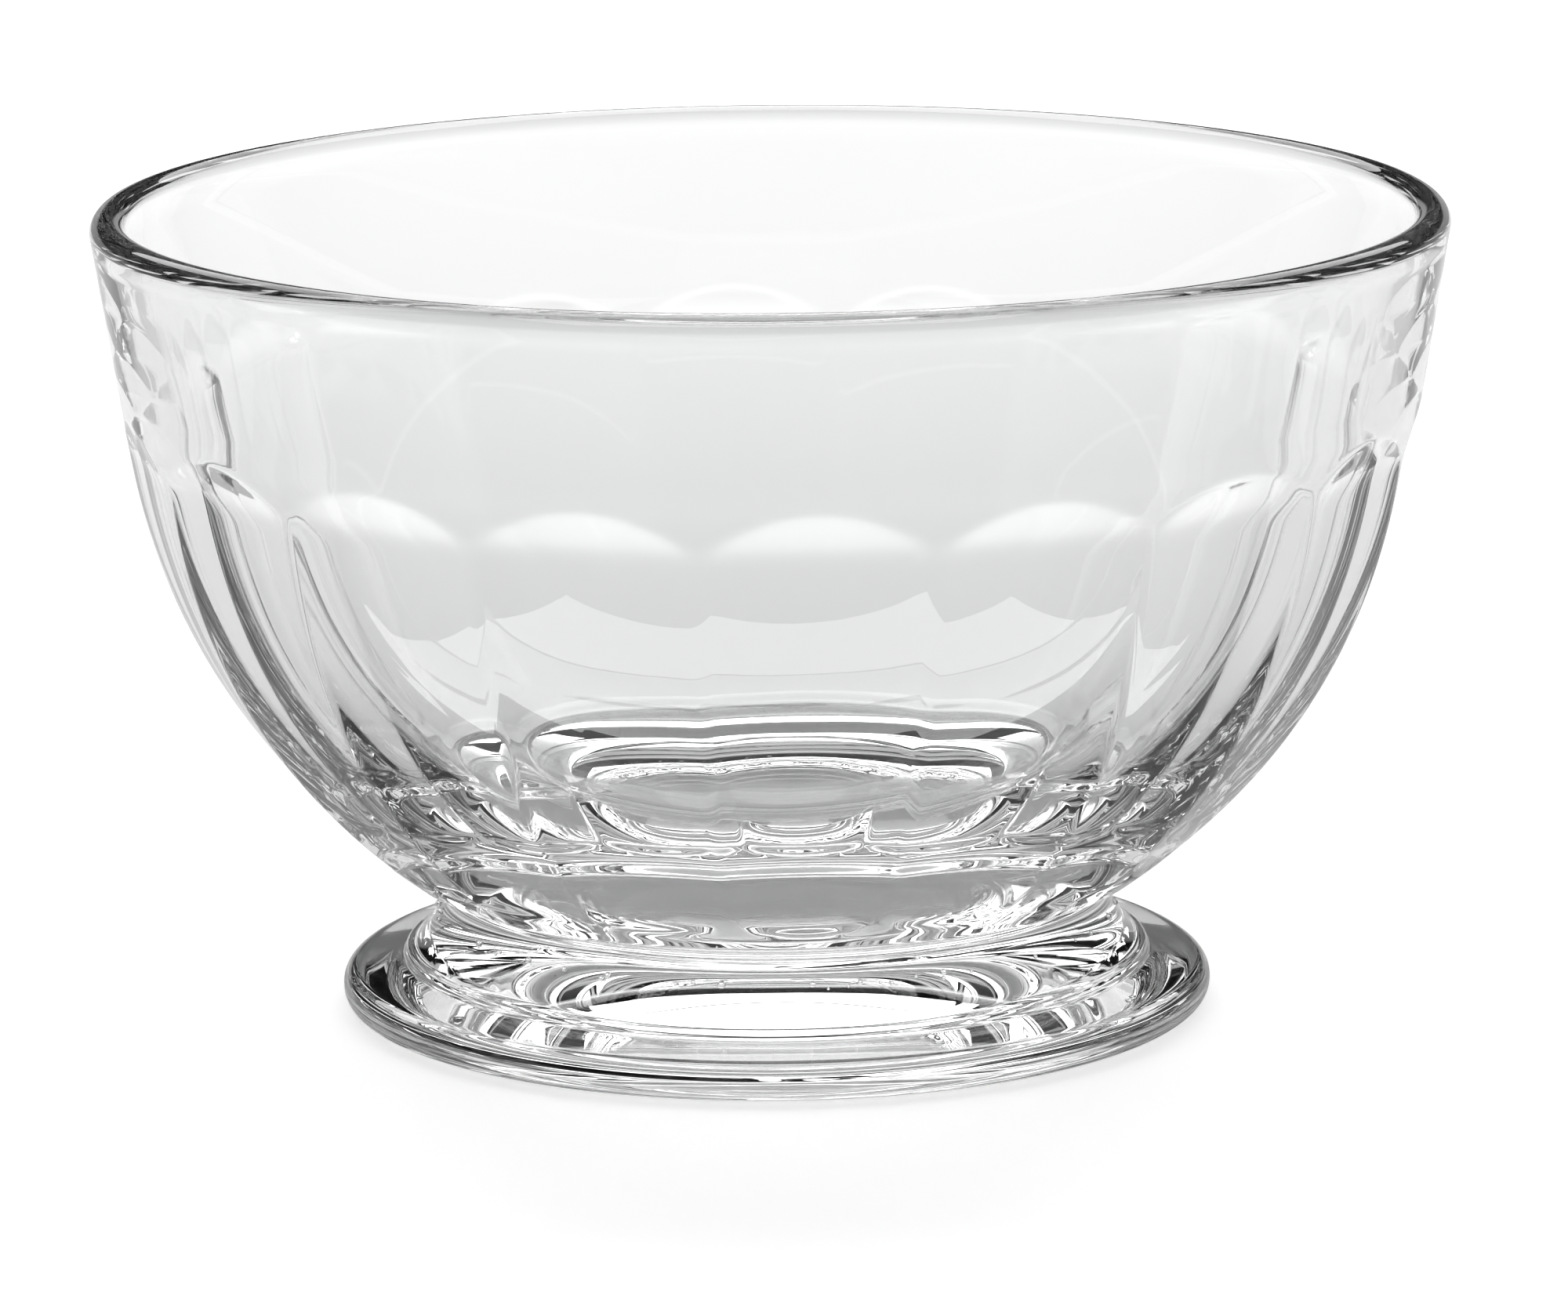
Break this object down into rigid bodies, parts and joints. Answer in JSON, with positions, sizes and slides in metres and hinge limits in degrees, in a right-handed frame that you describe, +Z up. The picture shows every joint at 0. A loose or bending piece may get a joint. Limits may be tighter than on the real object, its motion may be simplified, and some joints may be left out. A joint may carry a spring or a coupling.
{
  "type": "footed glass bowl",
  "caption": "Clear pressed-glass ice cream bowl with flat arched panels around its belly, a plain flared rim and a stepped round foot.",
  "frame": {"origin": "centre of the foot's underside, on the surface that the bowl stands on", "axes": "+Z up along the turning axis; one flat panel of the bowl faces -Y"},
  "size_m": [0.13, 0.1298, 0.078],
  "materials": {
    "clear_glass": "clear fire-polished soda-lime glass with a faint grey-green tint"
  },
  "bodies": {
    "root": {"bowl": "clear_glass", "foot": "clear_glass"}
  },
  "joints": []
}
